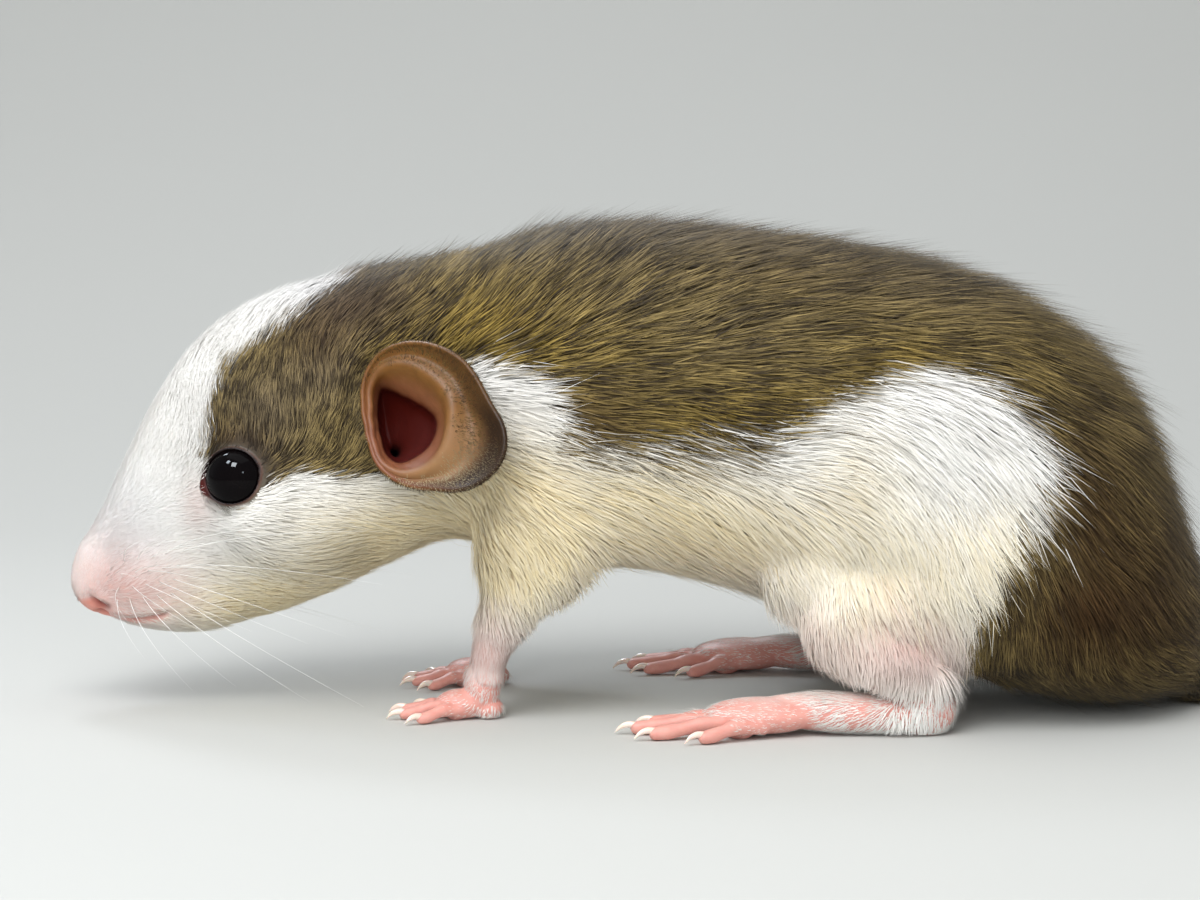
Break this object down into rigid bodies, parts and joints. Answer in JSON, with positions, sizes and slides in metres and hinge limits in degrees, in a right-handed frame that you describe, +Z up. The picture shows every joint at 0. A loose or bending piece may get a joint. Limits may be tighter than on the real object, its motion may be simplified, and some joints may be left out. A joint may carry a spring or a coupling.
{
  "type": "pet rat, hooded agouti-and-white pup, still life-size model",
  "caption": "Still life-size model of a hooded pet rat pup standing on its feet with the head held forward and the tail laid in an S on the floor behind it.",
  "frame": {"origin": "centre of the bounding box at floor level, under the middle of animal and tail", "axes": "-X is forward, the way the nose points; -Y is the animal's left side; +Z is up"},
  "size_m": [0.1751, 0.0432, 0.0445],
  "materials": {
    "white_coat": "short soft white and cream fur",
    "agouti_coat": "brown fur ticked with gold and dark hair, with white patches",
    "pink_skin": "bare or thinly furred pink skin, satin",
    "ear_skin": "thin brown-pink skin with fine down",
    "eye": "wet black"
  },
  "bodies": {
    "root": {"head": "white_coat", "nose": "pink_skin", "neck": "agouti_coat", "torso": "agouti_coat", "ear_left": "ear_skin", "ear_right": "ear_skin", "eye_left": "eye", "eye_right": "eye", "upper_arm_left": "white_coat", "upper_arm_right": "white_coat", "forearm_left": "white_coat", "forearm_right": "white_coat", "forefoot_left": "pink_skin", "forefoot_right": "pink_skin", "thigh_left": "white_coat", "thigh_right": "white_coat", "shank_left": "white_coat", "shank_right": "white_coat", "hindfoot_left": "pink_skin", "hindfoot_right": "pink_skin", "tail_base": "pink_skin", "tail_middle": "pink_skin", "tail_tip": "pink_skin"}
  },
  "joints": []
}
